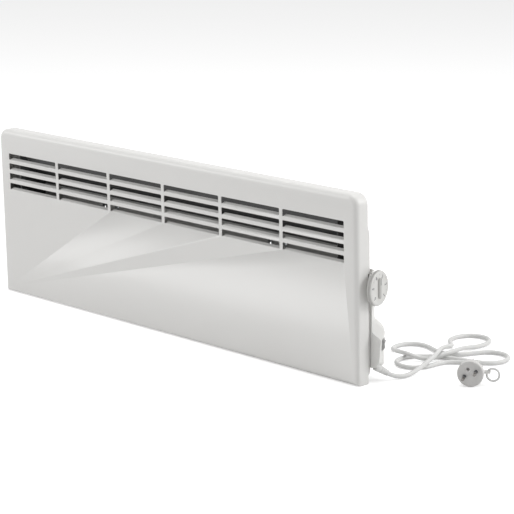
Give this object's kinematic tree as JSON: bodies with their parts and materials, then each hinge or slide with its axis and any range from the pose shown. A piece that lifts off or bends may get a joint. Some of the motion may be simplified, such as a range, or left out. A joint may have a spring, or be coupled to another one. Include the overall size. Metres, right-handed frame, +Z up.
{
  "type": "wall panel convector heater",
  "caption": "Low wall panel convector heater with a louvred front, side thermostat knob, connection box with rocker switch, lift-off wall bracket and mains cord.",
  "frame": {"origin": "under the centre of the heater's own box, on the surface that it stands on", "axes": "+X along the heater towards its control side, -Y out of the louvred front, +Z up"},
  "size_m": [0.9993, 0.3256, 0.29],
  "materials": {
    "casing_paint": "white powder coat, satin",
    "zinc_steel": "zinc plated sheet, dull",
    "fin_aluminium": "mill finish",
    "ceramic": "cream steatite, dull glaze",
    "grey_plastic": "pale grey moulding, fine grain",
    "knob_plastic": "pale grey moulding, satin",
    "dark_plastic": "dark grey moulding",
    "cord_sheath": "pale grey flexible sheath",
    "plug_plastic": "mid grey moulding",
    "pin_metal": "nickel plated"
  },
  "bodies": {
    "heater": {"front_casing": "casing_paint", "rear_cover": "casing_paint", "inlet_grille": "casing_paint", "end_plate_left": "zinc_steel", "end_plate_right": "zinc_steel", "ceramic_bush_left": "ceramic", "ceramic_bush_right": "ceramic", "element_sheath": "zinc_steel", "element_fins": "fin_aluminium", "air_baffle": "zinc_steel", "thermal_cutout": "dark_plastic", "control_housing": "grey_plastic", "thermostat_body": "dark_plastic", "connection_box": "grey_plastic", "switch_body": "dark_plastic", "terminal_block": "ceramic", "rear_spacer_left": "dark_plastic", "rear_spacer_right": "dark_plastic", "cover_screw_1": "zinc_steel", "cover_screw_2": "zinc_steel", "cover_screw_3": "zinc_steel", "cover_screw_4": "zinc_steel", "strain_relief": "cord_sheath", "mains_cord": "cord_sheath", "plug_body": "plug_plastic", "plug_pin_left": "pin_metal", "plug_pin_right": "pin_metal", "plug_ring": "cord_sheath"},
    "dial": {"thermostat_knob": "knob_plastic", "thermostat_shaft": "zinc_steel"},
    "rocker": {"power_rocker": "dark_plastic"},
    "bracket": {"wall_bracket": "zinc_steel"}
  },
  "joints": [
    {"name": "thermostat_turn", "type": "hinge", "parent": "heater", "child": "dial", "pos_m": [0.4188, -0.0085, 0.147], "axis": [0.9781, 0.2079, 0], "range_deg": [-135, 135]},
    {"name": "switch_rock", "type": "hinge", "parent": "heater", "child": "rocker", "pos_m": [0.42662, -0.00228, 0.061], "axis": [-0.4724, 0.8814, 0], "range_deg": [-14, 0]},
    {"name": "bracket_lift_off", "type": "slide", "parent": "heater", "child": "bracket", "axis": [0, 0, -1], "range_m": [0, 0.013]}
  ]
}
